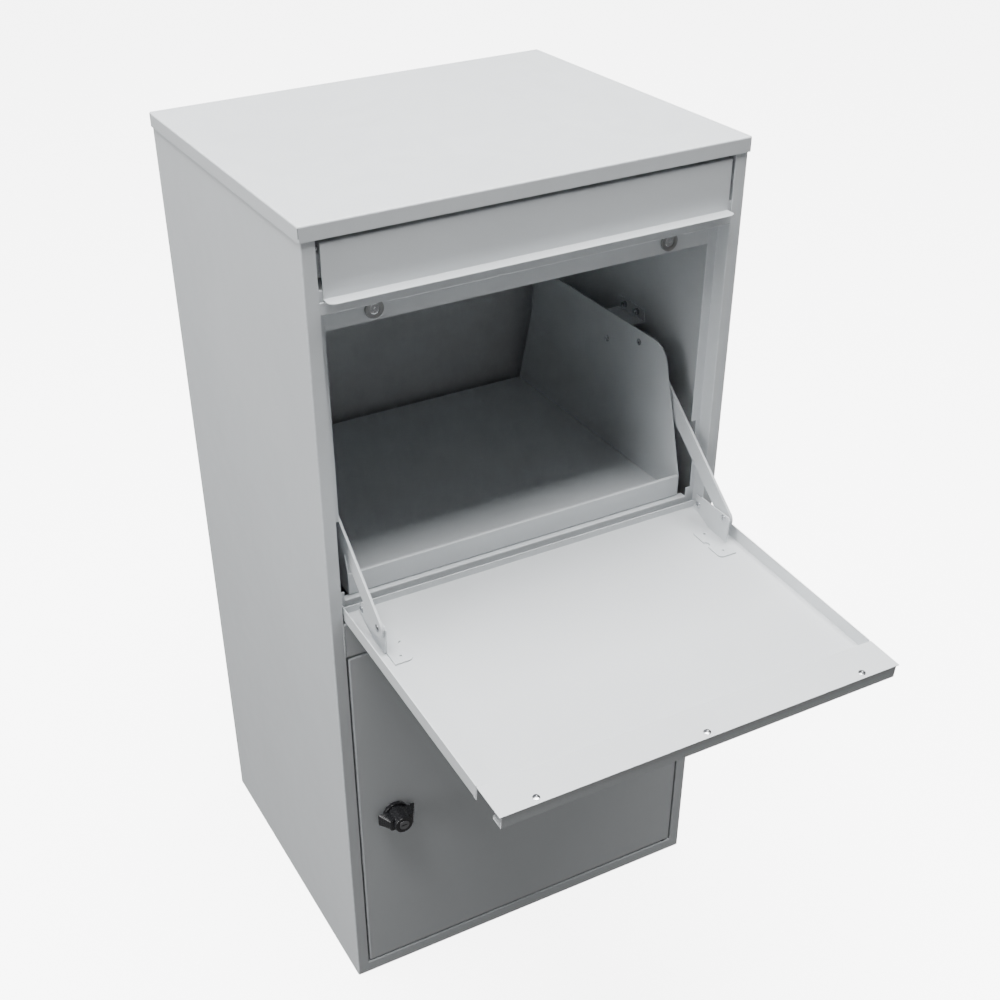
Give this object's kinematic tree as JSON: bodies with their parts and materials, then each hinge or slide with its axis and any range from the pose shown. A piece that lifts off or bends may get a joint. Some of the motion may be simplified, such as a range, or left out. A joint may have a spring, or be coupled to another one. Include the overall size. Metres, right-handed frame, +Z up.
{
  "type": "parcel drop box",
  "caption": "Folded steel parcel box with a letter flap, a drop flap linked to a swinging parcel tray, and a locked door below.",
  "frame": {"origin": "middle of the base, on the floor", "axes": "+Z up, -Y out of the front, +X to the right as seen by a person facing the front"},
  "size_m": [0.504, 0.765, 1],
  "materials": {
    "cabinet_paint": "light grey powder coat, fine texture, satin",
    "frame_paint": "light grey powder coat, fine texture, satin",
    "door_paint": "light grey powder coat, fine texture, satin",
    "flap_paint": "light grey powder coat, fine texture, satin",
    "tray_paint": "light grey powder coat, fine texture, satin",
    "linkage_paint": "light grey powder coat, satin",
    "zinc": "bright zinc plate",
    "magnet_steel": "dull nickel plate",
    "lock_steel": "satin chrome",
    "knob_plastic": "gloss black",
    "bush_plastic": "matt black nylon"
  },
  "bodies": {
    "cabinet": {"side_panel_left": "cabinet_paint", "side_panel_right": "cabinet_paint", "back_panel": "cabinet_paint", "base_panel": "cabinet_paint", "roof_cap": "cabinet_paint", "jamb_left": "frame_paint", "jamb_right": "frame_paint", "top_rail": "frame_paint", "mid_rail": "frame_paint", "bottom_rail": "frame_paint", "magnets": "magnet_steel", "magnet_screws": "zinc", "letter_flap_pins": "zinc", "flap_hinge_pins": "zinc", "tray_pivot_pins": "zinc", "tray_bushes": "bush_plastic", "pivot_bracket_left": "linkage_paint", "pivot_bracket_right": "linkage_paint", "bracket_nuts": "zinc", "door_hinge_pins": "zinc", "door_hinge_washers": "bush_plastic"},
    "drop_flap": {"flap_panel": "flap_paint", "grip_channel": "flap_paint", "grip_screws": "zinc", "flap_bracket_left": "linkage_paint", "flap_bracket_right": "linkage_paint", "bracket_rivets": "zinc", "arm_lower_pins": "zinc"},
    "arm_left": {"stay_arm_left": "linkage_paint"},
    "arm_right": {"stay_arm_right": "linkage_paint"},
    "tray": {"tray_floor": "tray_paint", "tray_wing_left": "tray_paint", "tray_wing_right": "tray_paint", "arm_upper_pins": "zinc"},
    "letter_door": {"letter_flap": "door_paint"},
    "door": {"lower_door": "door_paint", "lock_housing": "lock_steel", "lock_nut": "zinc"},
    "knob": {"lock_knob": "knob_plastic", "lock_cam": "zinc", "cam_screw": "zinc"},
    "plug": {"key_plug": "lock_steel"}
  },
  "joints": [
    {"name": "flap_hinge", "type": "hinge", "parent": "cabinet", "child": "drop_flap", "pos_m": [0, -0.2075, 0.565], "axis": [-1, 0, 0], "range_deg": [0, 93.8]},
    {"name": "arm_left_pivot", "type": "hinge", "parent": "drop_flap", "child": "arm_left", "pos_m": [-0.221, -0.274, 0.586], "axis": [-1, 0, 0], "range_deg": [-93.8, 0]},
    {"name": "arm_right_pivot", "type": "hinge", "parent": "drop_flap", "child": "arm_right", "pos_m": [0.221, -0.274, 0.586], "axis": [-1, 0, 0], "range_deg": [-93.8, 0]},
    {"name": "tray_pivot", "type": "hinge", "parent": "cabinet", "child": "tray", "pos_m": [0, -0.026, 0.713], "axis": [-1, 0, 0], "range_deg": [0, 93.8]},
    {"name": "letter_hinge", "type": "hinge", "parent": "cabinet", "child": "letter_door", "pos_m": [0, -0.2055, 0.974], "axis": [-1, 0, 0], "range_deg": [0, 75]},
    {"name": "door_hinge", "type": "hinge", "parent": "cabinet", "child": "door", "pos_m": [0.224, -0.207, 0.2635], "axis": [0, 0, 1], "range_deg": [0, 110]},
    {"name": "knob_turn", "type": "hinge", "parent": "door", "child": "knob", "pos_m": [-0.188, -0.2125, 0.2635], "axis": [0, 1, 0], "range_deg": [0, 90]},
    {"name": "key_turn", "type": "hinge", "parent": "knob", "child": "plug", "pos_m": [-0.188, -0.2125, 0.2635], "axis": [0, 1, 0], "range_deg": [0, 90]}
  ],
  "couplings": [
    {"joint": "tray_pivot", "follows": "flap_hinge", "ratio": 1},
    {"joint": "arm_left_pivot", "follows": "flap_hinge", "ratio": -1},
    {"joint": "arm_right_pivot", "follows": "flap_hinge", "ratio": -1}
  ]
}
